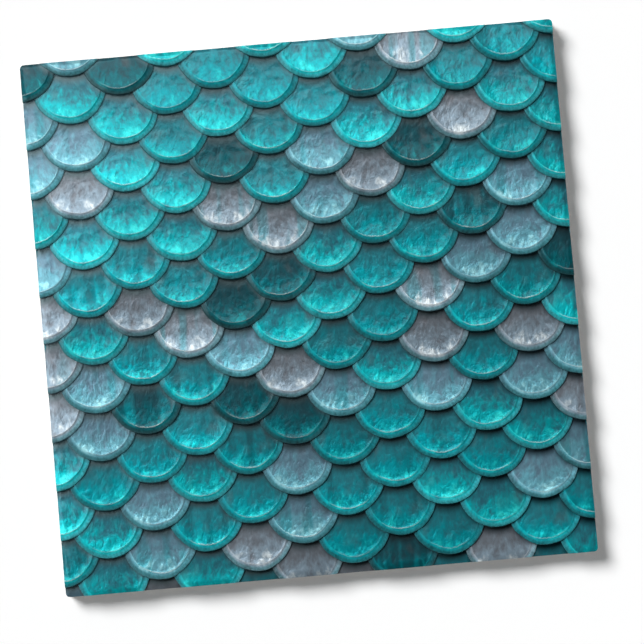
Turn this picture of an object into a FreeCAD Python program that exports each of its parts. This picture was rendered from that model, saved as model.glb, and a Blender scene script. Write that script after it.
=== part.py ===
"""Square glazed wall tile whose face is moulded as overlapping fish scales, pressed and fired as one piece.

Millimetres. The glazed face looks to +Z and the scales' lips hang towards -Y.
The origin is the centre of the back face, which lies on z = 0.
"""
import FreeCAD
import Part
import math
import os

# The tile's body
tile_side = 152.4
tile_thickness = 8.0        # back face to the highest scale ridge
relief_height = 2.1         # solid ground, where a ridge's hidden upper end lies, to its raised lower end
corner_radius = 1.2         # upright corners, seen from above
arris_radius = 1.0          # rounding of the face's four edges

# The scales: round discs, tilted so that each lip covers the discs below it
scale_radius = 10.55
column_pitch = 27.7         # between neighbours in one row
row_pitch = 6.93            # between one row and the next, which is set half a column over
top_lip_inset = 3.95        # from the tile's upper edge to the first lip on the middle columns' rows
rim_width = 1.65            # sloping band between a scale's ridge and its outer edge
rim_drop = 0.5              # how far that band falls
root_depth = 0.5            # how far even the raised lip of a disc reaches down into the ground

# The keys: shallow pockets in the back that the adhesive grips
key_count = 6               # pockets along each side
key_margin = 12.2           # land between the outer pockets and the tile's sides
key_rib = 4.0               # land between two pockets
key_depth = 0.7
key_draft = 0.4             # how far each pocket wall leans in

# Worked out from the sizes above
ground = tile_thickness - relief_height
ridge_radius = scale_radius - rim_width
tilt = math.asin(relief_height / (2 * ridge_radius))
scale_centre = tile_thickness - relief_height / 2       # height of a ridge's middle
lip_height = scale_centre + scale_radius * math.sin(tilt)
disc_depth = (lip_height - ground + root_depth) / math.cos(tilt)
key_size = (tile_side - 2 * key_margin + key_rib) / key_count - key_rib     # pocket width at the back face


def rounded_block():
    """The tile's outline as a block with round upright corners and a round arris along the face."""
    block = Part.makeBox(
        tile_side,
        tile_side,
        tile_thickness,
        FreeCAD.Vector(-tile_side / 2, -tile_side / 2, 0),
    )
    upright = [e for e in block.Edges if abs(e.tangentAt(e.FirstParameter).z) > 0.9]
    block = block.makeFillet(corner_radius, upright)
    face_edges = [e for e in block.Edges if e.BoundBox.ZMin > tile_thickness - 1e-6]
    return block.makeFillet(arris_radius, face_edges)


def scale_disc():
    """One scale, its ridge centred on the origin: a disc with a sloping rim, tilted lip up."""
    profile = [
        (0, 0),
        (ridge_radius, 0),
        (scale_radius, -rim_drop),
        (scale_radius, -disc_depth),
        (0, -disc_depth),
    ]
    # revolved from +Y, where the scales above hide the seam
    points = [FreeCAD.Vector(0, r, z) for r, z in profile]
    section = Part.Face(Part.makePolygon(points + points[:1]))
    disc = section.revolve(FreeCAD.Vector(0, 0, 0), FreeCAD.Vector(0, 0, 1), 360)
    return disc.rotated(FreeCAD.Vector(0, 0, 0), FreeCAD.Vector(1, 0, 0), -math.degrees(tilt))


def lip_places():
    """Where each scale's lip lies, for every scale that reaches into the tile."""
    half = tile_side / 2
    first_lip = half - top_lip_inset
    reach = 2 * scale_radius
    rows_above = math.ceil(top_lip_inset / row_pitch)
    rows_below = math.ceil((first_lip + half + reach) / row_pitch)
    columns = math.ceil((half + scale_radius) / column_pitch) + 1
    for row in range(-rows_above, rows_below + 1):
        y = first_lip - row * row_pitch
        if not -half - reach < y < half:
            continue
        # rows sit a quarter column left and right of the middle, in turn
        side_step = (row % 2) * 2 - 1
        for column in range(-columns, columns + 1):
            x = column * column_pitch + side_step * column_pitch / 4
            if abs(x) < half + scale_radius:
                yield x, y


def scales():
    """Every scale, set with the top of its ridge at the tile's full thickness."""
    disc = scale_disc()
    lip_reach = scale_radius * math.cos(tilt)
    return [disc.translated(FreeCAD.Vector(x, y + lip_reach, scale_centre)) for x, y in lip_places()]


def key_pocket():
    """One shallow pocket, centred on the origin, narrowing from the back face to its floor."""
    half = key_size / 2
    floor_half = half - key_draft
    return Part.makeWedge(
        -half, 0, -half, -floor_half, -floor_half, half, key_depth, half, floor_half, floor_half
    ).rotated(FreeCAD.Vector(0, 0, 0), FreeCAD.Vector(1, 0, 0), 90)


def key_pockets():
    """The grid of pockets in the back."""
    pitch = key_size + key_rib
    steps = [(i - (key_count - 1) / 2) * pitch for i in range(key_count)]
    pocket = key_pocket()
    return [pocket.translated(FreeCAD.Vector(x, y, 0)) for x in steps for y in steps]


def build_tile():
    """Body and scales as one solid, trimmed to the tile's outline, with the keys cut into its back."""
    body = Part.makeBox(
        tile_side,
        tile_side,
        ground,
        FreeCAD.Vector(-tile_side / 2, -tile_side / 2, 0),
    )
    pressed = body.multiFuse(scales())
    trimmed = pressed.common(rounded_block())
    keyed = trimmed.cut(Part.makeCompound(key_pockets()))
    return keyed.removeSplitter()


def main():
    os.makedirs("parts", exist_ok=True)
    tile = build_tile()
    solids = tile.Solids
    if len(solids) != 1 or not tile.isValid():
        raise RuntimeError(f"the tile came out as {len(solids)} solids, valid: {tile.isValid()}")
    solids[0].exportStep("parts/fish_scale_tile.step")
    box = tile.optimalBoundingBox()
    print(f"tile {box.XLength:.3f} x {box.YLength:.3f} x {box.ZLength:.3f} mm")
    print(f"volume {solids[0].Volume / 1000:.2f} cm3, {len(solids[0].Faces)} faces")


main()
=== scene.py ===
"""Square wall tile pressed with overlapping fish scales under a lustre glaze, and the studio it lies in.

The tile's outline and the lattice of its scales follow the CAD part. This script adds what a mould and a
kiln give them: dished scales with a raised ridge, small differences between them, and the glaze, whose
colours also carry painted light and shade.
Lengths are metres, except in the glaze, which works in millimetres.
"""

import math

import bmesh
import bpy
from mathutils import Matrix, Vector


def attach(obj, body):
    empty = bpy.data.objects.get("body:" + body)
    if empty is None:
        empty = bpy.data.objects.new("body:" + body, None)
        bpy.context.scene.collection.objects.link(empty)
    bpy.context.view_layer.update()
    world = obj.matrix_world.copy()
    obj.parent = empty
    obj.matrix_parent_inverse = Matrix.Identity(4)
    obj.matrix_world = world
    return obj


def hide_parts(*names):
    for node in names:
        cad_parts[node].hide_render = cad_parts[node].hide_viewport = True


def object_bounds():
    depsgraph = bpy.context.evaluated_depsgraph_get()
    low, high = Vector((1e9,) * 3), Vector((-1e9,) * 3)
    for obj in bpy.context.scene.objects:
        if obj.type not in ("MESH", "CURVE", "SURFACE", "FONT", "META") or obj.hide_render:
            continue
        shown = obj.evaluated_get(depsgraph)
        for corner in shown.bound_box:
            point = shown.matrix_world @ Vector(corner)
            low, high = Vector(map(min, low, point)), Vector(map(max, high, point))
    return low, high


bl_info = {
    "name": "Fish Scale Tile",
    "version": (1, 0, 0),
    "blender": (4, 5, 0),
    "location": "3D View > Sidebar > Fish Scale Tile",
    "description": "Makes a glazed wall tile with a relief of overlapping fish scales, and a studio for it",
    "category": "Add Mesh",
}

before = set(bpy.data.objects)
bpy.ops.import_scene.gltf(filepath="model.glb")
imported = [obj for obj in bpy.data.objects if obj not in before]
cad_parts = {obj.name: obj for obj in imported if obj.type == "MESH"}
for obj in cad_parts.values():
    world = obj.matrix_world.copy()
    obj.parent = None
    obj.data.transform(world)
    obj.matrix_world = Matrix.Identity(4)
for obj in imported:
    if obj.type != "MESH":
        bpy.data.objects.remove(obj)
cad_low, cad_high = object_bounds()

MM = 0.001
TILE_NODE = "fish_scale_tile"
PIECE_NAME = "glazed_tile"
TILE_SIDE = cad_high.x - cad_low.x
TILE_THICKNESS = cad_high.z - cad_low.z

# the scales' solids and the lattice
SCALE_SECTORS = 64      # facets around a scale
DISH_SHARES = (0.0, 0.2, 0.36, 0.5, 0.62, 0.72, 0.8, 0.87, 0.92)    # of the ridge's radius
BEAD_SECTION = (        # shares of the ridge's radius and of the bead's height
    (0.955, -0.4), (0.975, 0.0), (0.990, 0.0), (1.005, -0.7), (1.020, -1.3))
RIM_SECTION = (         # shares of the rim's width, from the outline inwards, and of its fall
    (0.75, -0.45), (0.35, -0.7), (0.12, -0.95), (0.03, -1.2), (0.0, -1.6))
ROW_CLASSES = 4         # scales four rows apart never touch, so each class is one clean operand
ROWS_ABOVE = 4          # rows of scales above the first full row of lips
ROWS_SPARE = 6          # rows and columns beyond those that span the tile
COLUMNS_SPARE = 3
ROOT_DEPTH = 0.8 * MM   # how far even the raised lip of a scale reaches down into the ground
GROUND_MARGIN = 10 * MM     # how much wider the ground is than the tile before it is trimmed
CUT_MARGIN = 2 * MM     # how far ground and outline run past the faces that trim them
WAVES_PER_METRE = 150.0     # of the outlines, as cells of a noise
DENTS_PER_METRE = 420.0
SCALE_ATTRIBUTES = {    # what the faces of a scale carry for the glaze
    "scale_centre": "FLOAT_VECTOR",
    "above_centre": "FLOAT_VECTOR",
    "left_centre": "FLOAT_VECTOR",
    "right_centre": "FLOAT_VECTOR",
    "scale_tone": "FLOAT",
    "scale_mark": "FLOAT",
    "scale_light": "FLOAT",
    "on_scale": "FLOAT",
}
DRAWS = {               # each difference between scales draws random numbers of its own
    "height": 1, "tone": 2, "mark": 3, "tilt": 4, "sway": 5, "turn": 6, "light": 7, "right": 8, "up": 9}
SLIVER = 2e-6           # edges and faces thinner than this are collapsed, in metres
SHARP_ANGLE = math.radians(38)      # edges that turn more than this stay sharp

# how much of the palette each kind of scale takes, and the tone of the veins that cross it
TONE_SHARES = {"cyan": 0.24, "teal": 0.33, "deep": 0.13, "slate": 0.18, "silver": 0.12}
VEIN_TONES = {"cyan": "teal", "teal": "deep", "deep": "teal", "slate": "teal", "silver": "teal"}

# the glaze, in millimetres; its patterns are noises with this many cells in a millimetre
CRUMPLE_CELLS = 0.64
FOLD_CELLS = 0.38
BLOTCH_CELLS = 0.2
STAIN_CELLS = 0.16
MOTTLE_CELLS = 1.3
VEIN_CELLS = (0.30, 0.03)   # across and along a scale
RUN_CELLS = 0.22
SPECK_CELLS = 0.9
FAN_CENTRE = 25.0       # where the foil's streaks meet, above a scale's middle
FAN_CROSS = 1.5         # how much finer the noise is across the streaks, at a scale's middle
FAN_ALONG = 0.8         # and how fine along them
TONES_APART = 90.0      # steps through the noise that keep the scales' foil and veins apart
MARKS_APART = 70.0
GLAZE_STOP = 2.6        # mean height on the sides where the glaze ends
GLAZE_RUN = 3.0         # spread of that height
SHEEN_RIGHT = 0.6        # how strongly the painted sheen over the crevice shade fades to the right, and how strongly downwards
SHEEN_DOWN = 0.3
SHEEN_REACH = 75.0       # of that measure, from the tile's middle to where the painted sheen is strongest and to where it is gone
CLAY_ROUGHNESS = 0.9
GLAZE_ROUGHNESS = 0.28

# the studio
FLOOR_SIDE = 8.0
FLOOR_DEPTH = 0.02
SENSOR_WIDTH = 36.0     # millimetres, as the lens is
VIEW_DEPTH = 20.0       # how far the camera sees
SOFT_BOXES = {          # place, width and depth
    "sheen": ((-0.20, 0.05, 0.24), 0.14, 0.20),
    "glint": ((-0.10, 0.45, 0.75), 0.50, 0.36),
}


def length(name, description, default_mm, **more):
    """A property for a length, given in millimetres and kept in metres."""
    return bpy.props.FloatProperty(
        name=name, description=description, default=default_mm * MM, unit="LENGTH", precision=5, **more)


def angle(name, description, default_degrees):
    """A property for an angle, given in degrees and kept in radians."""
    return bpy.props.FloatProperty(
        name=name, description=description, default=math.radians(default_degrees), unit="ROTATION")


def colour(name, description, default):
    """A property for a colour, given as display red, green and blue from 0 to 255."""
    return bpy.props.FloatVectorProperty(
        name=name, description=description, size=3, subtype="COLOR", min=0.0, max=1.0,
        default=[to_linear(value / 255) for value in default])


def to_linear(value):
    """A display value from 0 to 1 as the linear value that renders to it."""
    return value / 12.92 if value <= 0.04045 else ((value + 0.055) / 1.055) ** 2.4


class TileShape(bpy.types.PropertyGroup):
    """The body that the scales are pressed into."""
    side: length("Side", "Width and height of the square tile", TILE_SIDE / MM)
    thickness: length("Thickness", "Back face to the highest ridge", TILE_THICKNESS / MM)
    relief: length("Relief", "Solid ground to the highest ridge", 2.1)
    corner_radius: length("Corner radius", "Rounding of the upright corners", 1.2)
    arris_width: length("Arris width", "Band along the edges where the face rolls off", 1.0)
    arris_drop: length("Arris drop", "How far the face has fallen where it meets the side", 0.35)
    key_count: bpy.props.IntProperty(name="Keys", description="Pockets along each side", default=6, min=1)
    key_margin: length("Key margin", "Land between the outer pockets and the sides", 12.2)
    key_rib: length("Key rib", "Land between two pockets", 4.0)
    key_depth: length("Key depth", "Depth of the pockets", 0.7)
    key_draft: length("Key draft", "How far each pocket wall leans in", 0.4)

    def key_size(self):
        """Width of one pocket at the back face."""
        return (self.side - 2 * self.key_margin + self.key_rib) / self.key_count - self.key_rib


class ScaleField(bpy.types.PropertyGroup):
    """The scales and the lattice that they stand on."""
    radius: length("Radius", "Outline of one scale", 10.55)
    column_pitch: length("Column pitch", "Between neighbours in one row", 27.7)
    row_pitch: length("Row pitch", "Between one row and the next", 6.93)
    top_lip_inset: length("Top lip inset", "From the upper edge to the first full row of lips", 3.95)
    rim_width: length("Rim width", "Sloping band outside the ridge", 1.65)
    rim_drop: length("Rim drop", "Fall of that band", 0.5)
    dish_depth: length("Dish depth", "Hollow inside the ridge", 0.32)
    bead_height: length("Bead height", "How far the ridge stands proud", 0.09)
    shift_spread: length("Shift spread", "Largest shift of a scale off the lattice, each way", 0.4)
    tilt_spread: angle("Tilt spread", "Largest change of tilt from scale to scale", 0.5)
    turn_spread: angle("Turn spread", "Largest turn of a scale about its own axis", 1.5)
    height_spread: length("Height spread", "Largest change of height", 0.05)
    wobble: length("Wobble", "Waviness of the outlines", 0.8)
    hammer: length("Hammer", "Depth of the hammered dents", 0.16)
    foil_depth: length("Foil depth", "Depth of the foil's fine crumples, which only catch the light", 0.12)
    seed: bpy.props.IntProperty(name="Seed", description="Picks each scale's small differences", default=11)

    def ridge(self):
        """Radius of the ridge line."""
        return self.radius - self.rim_width

    def tilt(self, relief):
        """Lean that lifts a ridge by the height of the relief from its hidden end to its lip."""
        return math.asin(relief / (2 * self.ridge()))


class GlazeColours(bpy.types.PropertyGroup):
    """What the glaze and the bare clay look like; each tone has an upper, lower, bright and rim colour."""
    # each tone's upper colour is painted shade from the scale above, its lower colour painted light towards
    # the lip, and its bright colour a painted highlight on the foil
    cyan_upper: colour("Cyan", "Upper part of the brightest scales", (56, 128, 144))
    cyan_lower: colour("Cyan, lower", "Lower part of the brightest scales", (14, 192, 201))
    cyan_bright: colour("Cyan, bright", "Lit foil of the brightest scales", (52, 233, 232))
    cyan_rim: colour("Cyan, rim", "Rim of the brightest scales", (48, 148, 155))
    teal_upper: colour("Teal", "Upper part of the plain scales", (52, 136, 149))
    teal_lower: colour("Teal, lower", "Lower part of the plain scales", (8, 165, 178))
    teal_bright: colour("Teal, bright", "Lit foil of the plain scales", (28, 210, 213))
    teal_rim: colour("Teal, rim", "Rim of the plain scales", (28, 114, 121))
    deep_upper: colour("Deep", "Upper part of the dark scales", (42, 85, 95))
    deep_lower: colour("Deep, lower", "Lower part of the dark scales", (12, 103, 113))
    deep_bright: colour("Deep, bright", "Lit foil of the dark scales", (14, 142, 149))
    deep_rim: colour("Deep, rim", "Rim of the dark scales", (26, 75, 80))
    slate_upper: colour("Slate", "Upper part of the blue-grey scales", (114, 150, 170))
    slate_lower: colour("Slate, lower", "Lower part of the blue-grey scales", (116, 186, 204))
    slate_bright: colour("Slate, bright", "Lit foil of the blue-grey scales", (170, 238, 248))
    slate_rim: colour("Slate, rim", "Rim of the blue-grey scales", (62, 122, 131))
    silver_upper: colour("Silver", "Upper part of the grey scales", (126, 134, 143))
    silver_lower: colour("Silver, lower", "Lower part of the grey scales", (150, 172, 188))
    silver_bright: colour("Silver, bright", "Lit foil of the grey scales", (226, 238, 242))
    silver_rim: colour("Silver, rim", "Rim of the grey scales", (86, 126, 135))
    dusk: colour("Dusk", "Faint blotches in the upper part of a scale", (116, 98, 94))
    # the flash colour paints the highlight along the ridges
    flash: colour("Flash", "Thin line along the ridges", (244, 247, 245))
    # the crevice colour paints the shade under the lips and beside the flanks, and also darkens the glaze
    # run down the sides
    crevice: colour("Crevice", "Glaze pooled under the lips, where it is thick", (2, 14, 18))
    # the same painted shade with a painted sheen over it, at the upper left corner
    crevice_sheen: colour("Crevice, thin", "Pooled glaze at the corner that it ran from", (102, 121, 125))
    clay: colour("Clay", "Fired body, bare on the back", (222, 214, 202))
    clay_speck: colour("Clay speck", "Coarse grains in the fired body", (170, 156, 140))

    def tones(self, part):
        """One part's colours in the order of the palette."""
        return [getattr(self, f"{name}_{part}") for name in TONE_SHARES]

    def vein_tones(self, part):
        """One part's colours in the veins that cross scales of each tone."""
        return [getattr(self, f"{VEIN_TONES[name]}_{part}") for name in TONE_SHARES]


class StudioSetup(bpy.types.PropertyGroup):
    """Camera, lamps and floor."""
    frame_width: length("Frame width", "What the picture spans at the tile's face", 183.45)
    roll: angle("Roll", "Turn of the tile in the picture, against the clock", 5.0)
    centre_right: length("Centre right", "Middle of the picture, right of the tile's middle", 3.76)
    centre_down: length("Centre down", "Middle of the picture, below the tile's middle", 3.93)
    lens: bpy.props.FloatProperty(name="Lens", description="Focal length in millimetres", default=200.0)
    shadow_right: length("Shadow right", "How far the top edge's shadow falls to the right", 5.65)
    shadow_down: length("Shadow down", "How far the top edge's shadow falls downward", 5.05)
    key_share: bpy.props.FloatProperty(
        name="Key share", description="Part of the floor's light that the key lamp gives", default=0.81)
    key_angle: angle("Key angle", "Width of the key lamp in the sky", 26.0)
    floor_albedo: bpy.props.FloatProperty(
        name="Floor", description="Whiteness of the floor", default=0.94, subtype="FACTOR")
    floor_lift: bpy.props.FloatProperty(
        name="Floor lift", description="Light that makes the lit floor read as white", default=0.095)
    zenith: bpy.props.FloatProperty(
        name="Zenith", description="What gloss reflects from straight above", default=0.03)
    glint: bpy.props.FloatProperty(
        name="Glint", description="Brightness of the soft box that the foil glints with", default=2.2)
    sheen: bpy.props.FloatProperty(
        name="Sheen", description="Brightness of the soft box that glazes the left side", default=2.0)


class Sock:
    """A node's output in Python expressions: each operator adds the node that works it out."""

    def __init__(self, tree, socket):
        self.tree = tree
        self.socket = socket

    def node(self, kind, settings=(), inputs=(), output=0):
        """Adds a node, its settings first and then its sockets' values or links, and gives an output."""
        made = self.tree.nodes.new(kind)
        for name, value in dict(settings).items():
            if name == "stops":
                set_stops(made.color_ramp, value)
            else:
                setattr(made, name, value)
        for key, value in dict(inputs).items():
            for each in value if isinstance(value, list) else [value]:
                socket = self.pick(made.inputs, key)
                if isinstance(each, Sock):
                    self.tree.links.new(each.socket, socket)
                else:
                    socket.default_value = each
        return Sock(self.tree, self.pick(made.outputs, output) if made.outputs else None)

    @staticmethod
    def pick(sockets, key):
        """The socket with a number, or the one in use with a name."""
        if isinstance(key, int):
            return sockets[key]
        return next(each for each in sockets if each.enabled and each.name == key)

    def math(self, operation, *values, clamp=False):
        inputs = dict(enumerate(values))
        return self.node("ShaderNodeMath", {"operation": operation, "use_clamp": clamp}, inputs)

    def __add__(self, other):
        return self.math("ADD", self, other)

    def __radd__(self, other):
        return self.math("ADD", other, self)

    def __sub__(self, other):
        return self.math("SUBTRACT", self, other)

    def __rsub__(self, other):
        return self.math("SUBTRACT", other, self)

    def __mul__(self, other):
        return self.math("MULTIPLY", self, other)

    def __rmul__(self, other):
        return self.math("MULTIPLY", other, self)

    def __truediv__(self, other):
        return self.math("DIVIDE", self, other)

    def __pow__(self, power):
        return self.math("POWER", self, power)

    def __neg__(self):
        return self.math("MULTIPLY", self, -1.0)

    def min(self, other):
        return self.math("MINIMUM", self, other)

    def max(self, other):
        return self.math("MAXIMUM", self, other)

    def clamped(self):
        return self.math("ADD", self, 0.0, clamp=True)

    def step(self, low, high):
        """0 at low, 1 at high, with a soft start and end; low may be the larger."""
        return self.node(
            "ShaderNodeMapRange", {"interpolation_type": "SMOOTHSTEP"},
            {"Value": self, "From Min": low, "From Max": high})

    def axes(self):
        """The three parts of a vector."""
        split = self.node("ShaderNodeSeparateXYZ", inputs={0: self}).socket.node
        return [Sock(self.tree, out) for out in split.outputs]

    def vector(self, x, y, z):
        return self.node("ShaderNodeCombineXYZ", inputs={0: x, 1: y, 2: z})

    def mix(self, other, amount):
        """This colour turning into another as the amount goes from 0 to 1."""
        return self.node(
            "ShaderNodeMix", {"data_type": "RGBA"}, {"Factor": amount, "A": self, "B": other}, "Result")

    def scaled(self, amount):
        """A colour or vector times a number."""
        return self.node("ShaderNodeVectorMath", {"operation": "SCALE"}, {0: self, "Scale": amount})

    def noise(self, scale, detail=2.0, roughness=0.5, distortion=0.0):
        """Noise from 0 to 1 at this vector."""
        return self.node("ShaderNodeTexNoise", inputs={
            "Vector": self, "Scale": scale, "Detail": detail,
            "Roughness": roughness, "Distortion": distortion})

    def moved(self, amount):
        """A vector with one number added to each of its parts."""
        shift = self.vector(amount, amount, amount)
        return self.node("ShaderNodeVectorMath", {"operation": "ADD"}, {0: self, 1: shift})

    def waves(self):
        """Two noises that bend the outlines of the scales sideways."""
        return self.node("ShaderNodeTexNoise", inputs={
            "Vector": self, "Scale": WAVES_PER_METRE, "Detail": 1.0}, output="Color").axes()[:2]


def set_stops(ramp, stops):
    """Gives a colour ramp its stops, each a place and a colour."""
    ramp.interpolation = "CONSTANT"
    while len(ramp.elements) > 1:
        ramp.elements.remove(ramp.elements[-1])
    for number, (place, shade) in enumerate(stops):
        stop = ramp.elements[0] if number == 0 else ramp.elements.new(place)
        stop.position = place
        stop.color = (*shade, 1.0)


def scale_profile(field, depth):
    """Half section of one scale from its middle to its root, ridge on z = 0, as (radius, height)."""
    ridge = field.ridge()
    outer = field.radius
    points = [(share * ridge, field.dish_depth * (share ** 3 - 1)) for share in DISH_SHARES]
    points += [(share * ridge, rise * field.bead_height) for share, rise in BEAD_SECTION]
    points += [(outer - share * field.rim_width, rise * field.rim_drop) for share, rise in RIM_SECTION]
    return points + [(outer, -depth), (0.0, -depth)]


def new_object(name, mesh):
    made = bpy.data.objects.new(name, mesh)
    bpy.context.collection.objects.link(made)
    return made


def mesh_of(shape, name):
    """Turns a bmesh into a closed mesh with its faces outward."""
    bmesh.ops.remove_doubles(shape, verts=shape.verts, dist=1e-7)
    bmesh.ops.recalc_face_normals(shape, faces=shape.faces)
    mesh = bpy.data.meshes.new(name)
    shape.to_mesh(mesh)
    shape.free()
    return mesh


def clean_slivers(mesh):
    """Collapses the slivers that the booleans leave, and drops the stray faces and edges this makes."""
    shape = bmesh.new()
    shape.from_mesh(mesh)
    bmesh.ops.triangulate(shape, faces=shape.faces)
    bmesh.ops.dissolve_degenerate(shape, dist=SLIVER, edges=shape.edges)
    bmesh.ops.triangulate(shape, faces=shape.faces)
    bmesh.ops.delete(shape, geom=folded_faces(shape), context="FACES")
    lone = [face for face in shape.faces if all(edge.is_boundary for edge in face.edges)]
    bmesh.ops.delete(shape, geom=lone, context="FACES")
    loose = [edge for edge in shape.edges if edge.is_wire]
    bmesh.ops.delete(shape, geom=loose, context="EDGES")
    shape.to_mesh(mesh)
    shape.free()


def folded_faces(shape):
    """Pairs of faces that lie back to back on the same corners."""
    single = {}
    folded = []
    for face in shape.faces:
        corners = frozenset(face.verts)
        if corners in single:
            folded += [face, single.pop(corners)]
        else:
            single[corners] = face
    return folded


def turned_mesh(profile, sectors, name):
    """A closed solid of revolution about Z."""
    shape = bmesh.new()
    rings = []
    for radius, height in profile:
        if radius == 0.0:
            rings.append([shape.verts.new((0, 0, height))] * sectors)
            continue
        turns = [2 * math.pi * k / sectors for k in range(sectors)]
        rings.append([shape.verts.new((radius * math.cos(t), radius * math.sin(t), height)) for t in turns])
    for inner, outer in zip(rings, rings[1:]):
        for k in range(sectors):
            around = (k + 1) % sectors
            corners = [inner[k], outer[k], outer[around], inner[around]]
            shape.faces.new(list(dict.fromkeys(corners)))
    return mesh_of(shape, name)


def prism_mesh(rings, name):
    """A closed stack of outlines, each a list of points with the same count."""
    shape = bmesh.new()
    levels = [[shape.verts.new(point) for point in ring] for ring in rings]
    for lower, upper in zip(levels, levels[1:]):
        for k in range(len(lower)):
            around = (k + 1) % len(lower)
            shape.faces.new((lower[k], lower[around], upper[around], upper[k]))
    shape.faces.new(levels[0][::-1])
    shape.faces.new(levels[-1])
    return mesh_of(shape, name)


def rounded_square(side, radius, height, corner_steps=6):
    """Points of a square with round corners at one height."""
    points = []
    reach = side / 2 - radius
    for quarter in range(4):
        start = quarter * math.pi / 2
        middle = start + math.pi / 4
        across = math.copysign(reach, math.cos(middle))
        along = math.copysign(reach, math.sin(middle))
        corner = Vector((across, along, height))
        for step in range(corner_steps + 1):
            turn = start + step / corner_steps * math.pi / 2
            points.append(corner + radius * Vector((math.cos(turn), math.sin(turn), 0)))
    return points


def square(side, height):
    half = side / 2
    return [(-half, -half, height), (half, -half, height), (half, half, height), (-half, half, height)]


class TreeInputs:
    """Named inputs of a geometry tree, and their values for one modifier."""

    def __init__(self, tree):
        self.tree = tree
        self.group = tree.nodes.new("NodeGroupInput")
        self.sockets = {}
        self.values = {}

    def add(self, kind, named_values):
        """Adds inputs of one kind."""
        for name, value in named_values.items():
            item = self.tree.interface.new_socket(name, in_out="INPUT", socket_type=kind)
            out = next(s for s in self.group.outputs if s.identifier == item.identifier)
            self.sockets[name] = Sock(self.tree, out)
            self.values[item.identifier] = value

    def __getitem__(self, name):
        """An input's socket inside the tree."""
        return self.sockets[name]

    def set_on(self, modifier):
        for identifier, value in self.values.items():
            modifier[identifier] = value


def tile_inputs(tree, shape, field, parts, glaze):
    """Everything that the tile's tree is given, in metres and radians."""
    half = shape.side / 2
    tilt = field.tilt(shape.relief)
    lip_reach = field.radius * math.cos(tilt)
    # room for the scales' differences under the tile's full thickness
    clearance = field.height_spread + field.hammer / 2 + field.ridge() * math.sin(field.tilt_spread)
    inputs = TreeInputs(tree)
    inputs.add("NodeSocketInt", {
        "Columns": 2 * math.ceil(half / field.column_pitch) + COLUMNS_SPARE,
        "Rows": 2 * math.ceil(half / field.row_pitch) + ROWS_SPARE,
        "Keys": shape.key_count,
        "Seed": field.seed,
    })
    inputs.add("NodeSocketFloat", {
        "Column Pitch": field.column_pitch,
        "Row Pitch": field.row_pitch,
        "Top Row": half - field.top_lip_inset + lip_reach + ROWS_ABOVE * field.row_pitch,
        "Height": shape.thickness - clearance - shape.relief / 2,
        "Tilt": tilt,
        "Shift Spread": field.shift_spread,
        "Tilt Spread": field.tilt_spread,
        "Turn Spread": field.turn_spread,
        "Height Spread": field.height_spread,
        "Wobble": field.wobble,
        "Hammer": field.hammer,
        "Half Side": half,
        "Arris Width": shape.arris_width,
        "Arris Drop": shape.arris_drop,
        "Key Pitch": shape.key_size() + shape.key_rib,
    })
    inputs.add("NodeSocketObject", {name.capitalize(): part for name, part in parts.items()})
    inputs.add("NodeSocketMaterial", {"Glaze": glaze})
    return inputs


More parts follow.
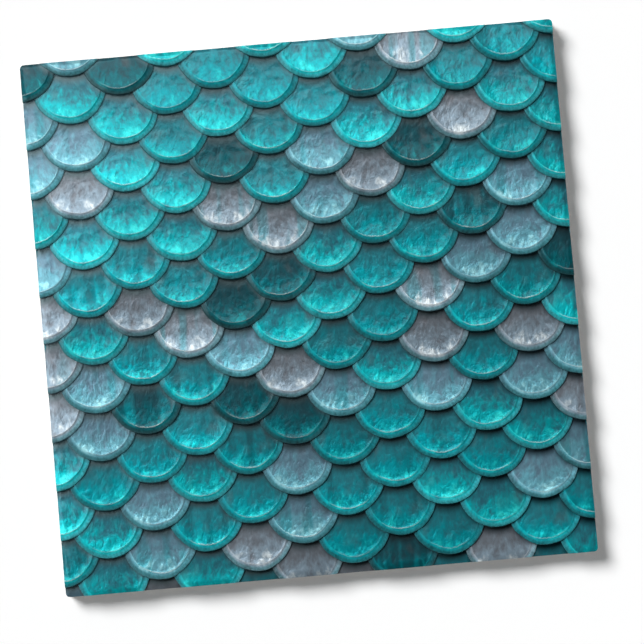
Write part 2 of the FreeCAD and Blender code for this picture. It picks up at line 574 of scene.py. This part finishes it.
class PressedTile:
    """Geometry nodes that press the lattice of scales onto the ground, trim it and cut the keys."""

    def __init__(self, shape, field, parts, glaze):
        self.tree = bpy.data.node_groups.new("Pressed tile", "GeometryNodeTree")
        for way in ("INPUT", "OUTPUT"):
            self.tree.interface.new_socket("Geometry", in_out=way, socket_type="NodeSocketGeometry")
        self.inputs = tile_inputs(self.tree, shape, field, parts, glaze)
        self.start = Sock(self.tree, None)
        self.index = self.start.node("GeometryNodeInputIndex")

        pressed = self.boolean("UNION", self.solid("Ground"), self.scales())
        trimmed = self.boolean("INTERSECT", pressed, [self.solid("Outline")])
        keyed = self.boolean("DIFFERENCE", trimmed, [self.keys()])
        whole = self.start.node("GeometryNodeRealizeInstances", inputs={"Geometry": keyed})
        glazed = self.start.node(
            "GeometryNodeSetMaterial", inputs={"Geometry": whole, "Material": self.inputs["Glaze"]})
        end = self.tree.nodes.new("NodeGroupOutput")
        self.tree.links.new(glazed.socket, end.inputs["Geometry"])

    def solid(self, name):
        """One of the solids that the tile is made from."""
        return self.start.node(
            "GeometryNodeObjectInfo", {"transform_space": "ORIGINAL"},
            {"Object": self.inputs[name]}, "Geometry")

    def boolean(self, operation, first, others):
        """One boolean of closed solids: only a difference tells the first operand from the others."""
        operands = {0: first, 1: others} if operation == "DIFFERENCE" else {1: [first, *others]}
        return self.start.node(
            "GeometryNodeMeshBoolean", {"operation": operation, "solver": "MANIFOLD"}, operands)

    def planted(self, points, solid, **more):
        """Copies of a solid on points, as one real mesh."""
        inputs = {"Points": points, "Instance": self.solid(solid), **more}
        copies = self.start.node("GeometryNodeInstanceOnPoints", inputs=inputs)
        return self.start.node("GeometryNodeRealizeInstances", inputs={"Geometry": copies})

    def row_and_column(self, which, columns):
        """Where a number falls in a grid that is filled row by row."""
        row = self.start.math("FLOOR", (which + 0.5) / columns)
        return row, which - row * columns

    def spread(self, amount, draw, which):
        """A number between minus and plus the amount, always the same for one draw and scale."""
        return self.start.node(
            "FunctionNodeRandomValue", {"data_type": "FLOAT"},
            {"Min": -1.0, "Max": 1.0, "ID": which, "Seed": self.inputs["Seed"] + DRAWS[draw]},
            "Value") * amount

    def place_of(self, which):
        """Where a scale stands: rows lie a quarter column left and right of the middle, in turn."""
        columns, pitch = self.inputs["Columns"], self.inputs["Column Pitch"]
        row, column = self.row_and_column(which, columns)
        side_step = row.math("MODULO", row, 2.0) * 2.0 - 1.0
        x = (column - (columns - 1.0) / 2.0) * pitch + side_step * pitch / 4.0
        y = self.inputs["Top Row"] - row * self.inputs["Row Pitch"]
        return self.start.vector(
            x + self.spread(self.inputs["Shift Spread"], "right", which),
            y + self.spread(self.inputs["Shift Spread"], "up", which),
            self.inputs["Height"] + self.spread(self.inputs["Height Spread"], "height", which))

    def lattice(self):
        """A point for each scale, with what its faces will carry."""
        columns = self.inputs["Columns"]
        row, _ = self.row_and_column(self.index, columns)
        odd_row = row.math("MODULO", row, 2.0)
        place = self.place_of(self.index)
        points = self.start.node(
            "GeometryNodePoints", inputs={"Count": self.inputs["Rows"] * columns, "Position": place})
        values = {
            "scale_centre": place,
            "above_centre": self.place_of(self.index - columns * 2.0),
            "left_centre": self.place_of(self.index - columns + odd_row - 1.0),
            "right_centre": self.place_of(self.index - columns + odd_row),
            "scale_tone": self.spread(0.5, "tone", self.index) + 0.5,
            "scale_mark": self.spread(0.5, "mark", self.index) + 0.5,
            "scale_light": self.spread(0.5, "light", self.index) + 0.5,
            "on_scale": 1.0,
        }
        for name, value in values.items():
            points = self.store(points, "POINT", name, value)
        return points

    def store(self, geometry, domain, name, value):
        """Geometry that carries a value."""
        return self.start.node(
            "GeometryNodeStoreNamedAttribute", {"data_type": SCALE_ATTRIBUTES[name], "domain": domain},
            {"Geometry": geometry, "Name": name, "Value": value})

    def carried(self, name):
        """A value that the geometry carries."""
        return self.start.node(
            "GeometryNodeInputNamedAttribute", {"data_type": SCALE_ATTRIBUTES[name]}, {"Name": name})

    def scales(self):
        """The formed scales in classes that don't touch, their values on faces, which booleans keep."""
        points = self.lattice()
        row, _ = self.row_and_column(self.index, self.inputs["Columns"])
        tilt, turn = self.inputs["Tilt Spread"], self.inputs["Turn Spread"]
        lean = self.start.vector(
            self.spread(tilt, "tilt", self.index) - self.inputs["Tilt"],
            self.spread(tilt, "sway", self.index),
            self.spread(turn, "turn", self.index))
        lean = self.start.node("FunctionNodeEulerToRotation", inputs={0: lean})
        classes = []
        for number in range(ROW_CLASSES):
            chosen = self.start.node(
                "FunctionNodeCompare", {"data_type": "FLOAT", "operation": "EQUAL"},
                {0: row.math("MODULO", row, float(ROW_CLASSES)), 1: float(number), "Epsilon": 0.1})
            scales = self.formed(self.planted(points, "Scale", Selection=chosen, Rotation=lean))
            for name in SCALE_ATTRIBUTES:
                scales = self.store(scales, "FACE", name, self.carried(name))
            classes.append(scales)
        return classes

    def formed(self, scales):
        """Scales with wavy outlines and hammered dents, rolling off at the tile's edges."""
        position = self.start.node("GeometryNodeInputPosition")
        own = position.moved(self.carried("scale_tone"))
        wave_x, wave_y = own.waves()
        dent = own.noise(DENTS_PER_METRE, 1.5) - 0.5
        half = self.inputs["Half Side"]
        px, py, _ = position.axes()
        inset = (half - px.math("ABSOLUTE", px)).min(half - py.math("ABSOLUTE", py))
        roll = (1.0 - inset / self.inputs["Arris Width"]).max(0.0).min(1.0)
        offset = self.start.vector(
            (wave_x - 0.5) * self.inputs["Wobble"],
            (wave_y - 0.5) * self.inputs["Wobble"],
            dent * self.inputs["Hammer"] - roll ** 2.0 * self.inputs["Arris Drop"])
        return self.start.node("GeometryNodeSetPosition", inputs={"Geometry": scales, "Offset": offset})

    def keys(self):
        """The solids that cut the grid of pockets in the back."""
        count, pitch = self.inputs["Keys"], self.inputs["Key Pitch"]
        row, column = self.row_and_column(self.index, count)
        middle = (count - 1.0) / 2.0
        place = self.start.vector((column - middle) * pitch, (row - middle) * pitch, 0.0)
        points = self.start.node("GeometryNodePoints", inputs={"Count": count * count, "Position": place})
        return self.planted(points, "Pocket")


class LustreGlaze:
    """What the glaze looks like at a point, painted light and shade too, from where that lies on the tile
    and its own scale.

    Distances are in millimetres; those from the ridge and the outlines decide where each look fades in.
    """

    def __init__(self, tree, field, colours):
        self.start = Sock(tree, None)
        self.colours = colours
        self.radius = field.radius / MM
        self.ridge = field.ridge() / MM
        position = self.start.node("ShaderNodeTexCoord", output="Object")
        self.px, self.py, self.pz = [part / MM for part in position.axes()]
        self.tone = self.of_scale("scale_tone")
        self.mark = self.of_scale("scale_mark")
        self.light = self.of_scale("scale_light")
        self.on_scale = self.of_scale("on_scale")

        # right of and above the middle of its own scale, before the outline was bent
        wave_x, wave_y = position.moved(self.tone).waves()
        wobble = field.wobble / MM
        x, y = self.from_centre("scale_centre")
        self.x = x - (wave_x - 0.5) * wobble
        self.y = y - (wave_y - 0.5) * wobble
        self.r = (self.x * self.x + self.y * self.y) ** 0.5
        self.edge = self.ridge - self.r
        self.rightward = self.x / self.r.max(0.1)
        self.downward = -self.y / self.r.max(0.1)

        # the foil's noises, in streaks that fan out downwards
        fan = self.start.vector(
            self.x * (FAN_CROSS * FAN_CENTRE) / (FAN_CENTRE - self.y),
            self.y * FAN_ALONG,
            self.tone * TONES_APART)
        self.crumple = fan.noise(CRUMPLE_CELLS, 2.3, 0.55, 0.25) - 0.5
        fold = fan.noise(FOLD_CELLS, 1.6, 0.5, 0.5) - 0.5
        self.crease = fold.math("ABSOLUTE", fold)
        self.blotch = fan.noise(BLOTCH_CELLS, 1.0, 0.5) - 0.5
        self.mottle = fan.noise(MOTTLE_CELLS, 2.0, 0.6) - 0.5
        self.stain = fan.noise(STAIN_CELLS, 2.0, 0.5)

        # painted light on the foil, growing down the scale and most in a crescent along the ridge; the
        # foil's bump follows it too
        drop = (3.5 - self.y) / 12.0
        crescent = self.edge.step(5.0, 0.2) * self.downward.step(0.35, 1.0)
        self.glow = (drop.step(0.0, 1.0) * 0.65 + crescent * 0.45).clamped()

        # the upper, lower and bright colours carry painted shade, painted light and a painted highlight
        self.upper = self.palette(colours.tones("upper"))
        self.lower = self.palette(colours.tones("lower"))
        self.bright = self.palette(colours.tones("bright"))

    def of_scale(self, name, output="Fac"):
        """A value that each scale's faces carry."""
        return self.start.node("ShaderNodeAttribute", {"attribute_name": name}, output=output)

    def from_centre(self, name):
        """The point's place to the right of and above the centre of its own scale or a neighbour."""
        cx, cy, _ = [part / MM for part in self.of_scale(name, "Vector").axes()]
        return self.px - cx, self.py - cy

    def palette(self, shades):
        """The colour that each scale's tone picks, in the palette's shares."""
        stops = []
        place = 0.0
        for shade, share in zip(shades, TONE_SHARES.values()):
            stops.append((place, shade))
            place += share
        return self.start.node("ShaderNodeValToRGB", {"stops": stops}, {0: self.tone})

    def plain(self, shade):
        """A fixed colour to begin a chain of mixes with."""
        made = self.start.node("ShaderNodeRGB")
        made.socket.default_value = tuple_of(shade)
        return made

    def face(self):
        """Crumpled foil inside the ridge; some scales carry upright veins of another tone."""
        colours = self.colours
        # lustre is how much painted light the face takes: from its upper colour in painted shade to its
        # lower colour, then to its bright colour, a painted highlight
        lustre = 0.05 + self.glow * (0.8 + self.blotch * 1.35)
        lustre = lustre + self.crumple * (0.5 + self.glow * 1.2) + self.blotch * 0.4
        across, along = VEIN_CELLS
        vein = self.start.vector(self.x * across, self.y * along, self.mark * MARKS_APART)
        vein = vein.noise(1.0, 1.0, 0.5).step(0.46, 0.64) * self.mark.step(0.5, 0.85) * 0.48
        upper = self.upper.mix(self.palette(colours.vein_tones("upper")), vein)
        lower = self.lower.mix(self.palette(colours.vein_tones("lower")), vein)
        shade = upper.mix(lower, lustre.step(0.0, 0.7))
        dusk = self.stain.step(0.54, 0.74) * (1.0 - self.glow) * 0.36
        shade = shade.mix(tuple_of(colours.dusk), dusk)
        shade = shade.mix(self.bright, lustre.step(0.66, 1.35))
        # besides each scale's own lightness and the crumples, the face is painted lighter on its left and
        # darker on its right, against the shading of the key lamp
        return shade.scaled(
            (0.72 + self.light * 0.30) * (1.0 + self.crumple * 0.44) * (1.0 - self.x * 0.025))

    def with_rim(self, shade):
        """A plainer rim round the face, painted lighter near the ridge and on its right, and a thin painted
        highlight along the ridge, brightest at the lip.
        """
        rim = self.palette(self.colours.tones("rim"))
        # painted shading of a rounded rim: lighter towards the ridge
        rim = rim.mix(self.lower, self.r.step(self.ridge + 1.0, self.ridge) * 0.5)
        rim = rim.mix(self.upper, self.downward.step(0.75, 0.25) * 0.4)
        lit = (1.1 + self.light * 0.65) * (1.0 + self.mottle * 1.6 + self.blotch * 0.8)
        # the rim is also painted lighter on its right, against the shading of the key lamp
        rim = rim.scaled(lit * (1.0 + self.rightward * 0.38))
        shade = shade.mix(rim, self.r.step(self.ridge - 0.1, self.ridge + 0.8))
        # a painted highlight along the ridge, whiter at the lip
        inside = self.edge - self.mottle * 0.6
        line = inside.step(0.42, 0.22) * inside.step(-0.05, 0.13)
        line = line * self.downward.step(0.0, 0.8) * (0.24 + self.mark * 0.46)
        highlight = self.bright.mix(tuple_of(self.colours.flash), self.downward.step(0.7, 1.0) * 0.6)
        return shade.mix(highlight, line * (1.0 + self.mottle * 3.0).clamped())

    def crevice(self):
        """How much painted shade covers the rest: a painted shadow under the lips around a scale, painted
        shade beside its flanks, and painted darkening on its own wall.
        """
        lip_gap, left_gap, right_gap = [
            (across * across + along * along) ** 0.5 - self.radius
            for across, along in map(self.from_centre, ("above_centre", "left_centre", "right_centre"))]
        under = lip_gap.step(3.4, 0.3) * (0.5 + lip_gap.step(-0.2, 0.75) * 0.47)
        beside_left = left_gap.step(2.0, -0.5) ** 1.5 * 0.48
        beside_right = right_gap.step(2.0, -0.5) ** 1.5 * 0.8
        wall = self.r.step(self.radius - 1.0, self.radius + 0.3) * 0.3
        return under.max(beside_right.max(beside_left)).max(wall)

    def shadowed(self):
        """Colour of the painted shade in the crevices, under a painted sheen that is strongest at the upper
        left and gone at the lower right.
        """
        # the measure along which the painted sheen fades, from the upper left to the lower right
        ran = self.px * SHEEN_RIGHT - self.py * SHEEN_DOWN
        darker = ran.step(-SHEEN_REACH, SHEEN_REACH) ** 0.7
        return self.plain(self.colours.crevice_sheen).mix(tuple_of(self.colours.crevice), darker)

    def run(self):
        """How far the glaze ran down the sides, from 0 to 1, in uneven streaks."""
        return self.start.vector(self.px, self.py, self.pz * 0.2).noise(RUN_CELLS, 3.0, 0.6)

    def clay(self):
        """Colour of the fired body where the glaze leaves it bare."""
        speck = self.start.vector(self.px, self.py, self.pz).noise(SPECK_CELLS, 4.0, 0.7).step(0.5, 0.8)
        return self.plain(self.colours.clay).mix(tuple_of(self.colours.clay_speck), speck * 0.4)

    def foil_normal(self, depth):
        """Normal of the crumpled and creased foil."""
        relief = (self.crumple + self.crease * 1.5) * (0.42 + self.glow * 0.58) * self.edge.step(0.0, 0.6)
        return self.start.node(
            "ShaderNodeBump", inputs={"Strength": 1.0, "Distance": depth, "Height": relief})


def glaze_material(field, colours):
    """Lustre glaze over the scales and part of the way down the sides, and bare clay on the back."""
    material = bpy.data.materials.new("lustre glaze")
    material.use_nodes = True
    material.node_tree.nodes.clear()
    glaze = LustreGlaze(material.node_tree, field, colours)
    # painted shade and shadow in the crevices, under a painted sheen at the upper left
    crevice = glaze.crevice()
    shade = glaze.with_rim(glaze.face()).mix(glaze.shadowed(), crevice)

    run = glaze.run()
    above_stop = glaze.pz - GLAZE_STOP + (run - 0.5) * GLAZE_RUN
    glazed = above_stop.step(-0.15, 0.15).max(glaze.on_scale)
    side = glaze.plain(colours.teal_upper).mix(tuple_of(colours.crevice), (run * 0.8).clamped())
    shade = glaze.clay().mix(side.mix(shade, glaze.on_scale), glazed)

    foil = glazed * glaze.on_scale * (0.25 + glaze.edge.step(0.0, 0.5) * 0.3)
    shader = glaze.start.node("ShaderNodeBsdfPrincipled", inputs={
        "Base Color": shade,
        "Metallic": foil,
        "Roughness": CLAY_ROUGHNESS - glazed * (CLAY_ROUGHNESS - GLAZE_ROUGHNESS),
        "Coat Weight": glazed * (0.3 - crevice * 0.27),
        "Coat Roughness": 0.1,
        "Specular IOR Level": 0.1,
        "Normal": glaze.foil_normal(field.foil_depth),
    })
    glaze.start.node("ShaderNodeOutputMaterial", inputs={"Surface": shader})
    return material


def tuple_of(shade):
    """A colour property as the four values of a colour socket."""
    return (*shade, 1.0)


class FISHSCALE_OT_tile(bpy.types.Operator):
    """Press, trim and glaze the tile"""
    bl_idname = "fishscale.tile"
    bl_label = "Glazed tile"

    def execute(self, context):
        shape = context.scene.fishscale_shape
        field = context.scene.fishscale_field
        colours = context.scene.fishscale_colours
        parts = {name: new_object(name, mesh) for name, mesh in self.solids(shape, field).items()}
        glaze = glaze_material(field, colours)
        pressed = PressedTile(shape, field, parts, glaze)
        maker = new_object("tile maker", bpy.data.meshes.new("tile maker"))
        modifier = maker.modifiers.new("Pressed tile", "NODES")
        modifier.node_group = pressed.tree
        pressed.inputs.set_on(modifier)
        graph = context.evaluated_depsgraph_get()
        mesh = bpy.data.meshes.new_from_object(maker.evaluated_get(graph), depsgraph=graph)
        for helper in (maker, *parts.values()):
            bpy.data.objects.remove(helper)
        if not mesh.polygons:
            raise RuntimeError("the pressed tile came out empty")
        clean_slivers(mesh)
        mesh.shade_smooth()
        mesh.set_sharp_from_angle(angle=SHARP_ANGLE)
        tile = new_object(PIECE_NAME, mesh)
        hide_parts(TILE_NODE)
        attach(tile, "root")
        return {"FINISHED"}

    def solids(self, shape, field):
        """Meshes of the closed solids that the tile is pressed and cut from."""
        ground = shape.thickness - shape.relief
        wide = shape.side + GROUND_MARGIN
        key = shape.key_size()
        return {
            "scale": turned_mesh(scale_profile(field, shape.relief + ROOT_DEPTH), SCALE_SECTORS, "scale"),
            "ground": prism_mesh([square(wide, -CUT_MARGIN), square(wide, ground)], "ground"),
            "outline": prism_mesh([
                rounded_square(shape.side, shape.corner_radius, height)
                for height in (0.0, shape.thickness + CUT_MARGIN)], "outline"),
            "pocket": prism_mesh([
                square(key - 2 * side * shape.key_draft, side * shape.key_depth)
                for side in (-1, 0, 1)], "pocket"),
        }


class FISHSCALE_OT_stage(bpy.types.Operator):
    """Set the floor, lamps and camera"""
    bl_idname = "fishscale.stage"
    bl_label = "Studio"

    def execute(self, context):
        studio = context.scene.fishscale_studio
        shape = context.scene.fishscale_shape
        scene = context.scene
        scene.view_settings.view_transform = "Standard"
        self.make_world(scene, studio)
        paper = prism_mesh([square(FLOOR_SIDE, -FLOOR_DEPTH), square(FLOOR_SIDE, 0.0)], "floor")
        floor = new_object("floor", paper)
        floor.data.materials.append(self.floor_material(studio))
        right = Vector((math.cos(studio.roll), -math.sin(studio.roll), 0))
        up = Vector((math.sin(studio.roll), math.cos(studio.roll), 0))
        self.make_key(studio, shape, right, up)
        self.make_soft_box("sheen", studio.sheen)
        self.make_soft_box("glint", studio.glint)
        self.make_camera(scene, studio, shape, right, up)
        return {"FINISHED"}

    def make_world(self, scene, studio):
        """A white backdrop for what looks at it, dimmer overhead, and plain fill light for the rest."""
        world = bpy.data.worlds.new("studio")
        world.use_nodes = True
        tree = world.node_tree
        tree.nodes.clear()
        start = Sock(tree, None)
        _, _, up = start.node("ShaderNodeTexCoord", output="Generated").axes()
        seen = light_path(start)
        shown = 1.0 - up.step(0.25, 0.85) * (1.0 - studio.zenith)
        level = shown * seen + (1.0 - studio.key_share) * (1.0 - seen)
        back = start.node("ShaderNodeBackground", inputs={"Strength": level})
        start.node("ShaderNodeOutputWorld", inputs={"Surface": back})
        scene.world = world

    def floor_material(self, studio):
        """White paper that keeps the tile's shadow."""
        material = bpy.data.materials.new("studio paper")
        material.use_nodes = True
        tree = material.node_tree
        tree.nodes.clear()
        start = Sock(tree, None)
        lift = light_path(start) * studio.floor_lift
        white = start.node("ShaderNodeCombineColor", inputs={0: lift, 1: lift, 2: lift})
        shader = start.node("ShaderNodeBsdfPrincipled", inputs={
            "Base Color": (studio.floor_albedo,) * 3 + (1.0,),
            "Roughness": 1.0,
            "Specular IOR Level": 0.0,
            "Emission Color": white,
            "Emission Strength": 1.0,
        })
        start.node("ShaderNodeOutputMaterial", inputs={"Surface": shader})
        return material

    def make_key(self, studio, shape, right, up):
        """The key lamp, placed so that the tile's edge throws its shadow to the lower right."""
        fall = right * studio.shadow_right - up * studio.shadow_down - Vector((0, 0, shape.thickness))
        lamp = bpy.data.lights.new("key", "SUN")
        lamp.angle = studio.key_angle
        lamp.energy = math.pi * studio.key_share / -fall.normalized().z
        key = bpy.data.objects.new("key", lamp)
        key.rotation_mode = "QUATERNION"
        key.rotation_quaternion = fall.to_track_quat("-Z", "Y")
        key.visible_glossy = False
        bpy.context.collection.objects.link(key)

    def make_soft_box(self, name, level):
        """A soft box aimed at the tile that only the gloss shows."""
        place, width, depth = SOFT_BOXES[name]
        lamp = bpy.data.lights.new(name, "AREA")
        lamp.shape = "RECTANGLE"
        lamp.size = width
        lamp.size_y = depth
        lamp.energy = level * math.pi * width * depth
        box = bpy.data.objects.new(name, lamp)
        box.location = place
        box.rotation_mode = "QUATERNION"
        box.rotation_quaternion = (-Vector(place)).to_track_quat("-Z", "Y")
        box.visible_diffuse = False
        box.visible_camera = False
        bpy.context.collection.objects.link(box)

    def make_camera(self, scene, studio, shape, right, up):
        """A long lens straight above the face, turned so that the tile leans in the picture."""
        camera = bpy.data.cameras.new("camera")
        camera.lens = studio.lens
        camera.sensor_width = SENSOR_WIDTH
        distance = studio.frame_width * studio.lens / camera.sensor_width
        place = bpy.data.objects.new("camera", camera)
        place.location = right * studio.centre_right - up * studio.centre_down
        place.location.z = shape.thickness + distance
        place.rotation_euler = (0, 0, -studio.roll)
        camera.clip_end = VIEW_DEPTH
        bpy.context.collection.objects.link(place)
        scene.camera = place


def light_path(start):
    """1 for rays that look at a surface, directly or in a gloss or glass, and 0 for those that light it."""
    node = start.node("ShaderNodeLightPath").socket.node
    seen = [Sock(start.tree, node.outputs[name]) for name in
            ("Is Camera Ray", "Is Glossy Ray", "Is Transmission Ray")]
    return seen[0].max(seen[1]).max(seen[2])


class FISHSCALE_PT_panel(bpy.types.Panel):
    """Lists the tile's sizes, colours and operators"""
    bl_label = "Fish Scale Tile"
    bl_idname = "FISHSCALE_PT_panel"
    bl_space_type = "VIEW_3D"
    bl_region_type = "UI"
    bl_category = "Fish Scale Tile"

    def draw(self, context):
        for name in SETTINGS:
            group = getattr(context.scene, name)
            column = self.layout.column(align=True)
            for key in group.__annotations__:
                column.prop(group, key)
        for operator in OPERATORS:
            self.layout.operator(operator.bl_idname)


SETTINGS = {
    "fishscale_shape": TileShape,
    "fishscale_field": ScaleField,
    "fishscale_colours": GlazeColours,
    "fishscale_studio": StudioSetup,
}
OPERATORS = (FISHSCALE_OT_tile, FISHSCALE_OT_stage)
CLASSES = (*SETTINGS.values(), *OPERATORS, FISHSCALE_PT_panel)


def register():
    for each in CLASSES:
        bpy.utils.register_class(each)
    for name, group in SETTINGS.items():
        setattr(bpy.types.Scene, name, bpy.props.PointerProperty(type=group))


def unregister():
    for name in SETTINGS:
        delattr(bpy.types.Scene, name)
    for each in reversed(CLASSES):
        bpy.utils.unregister_class(each)


def main():
    register()
    bpy.ops.fishscale.tile()
    bpy.ops.fishscale.stage()


if __name__ == "__main__":
    main()
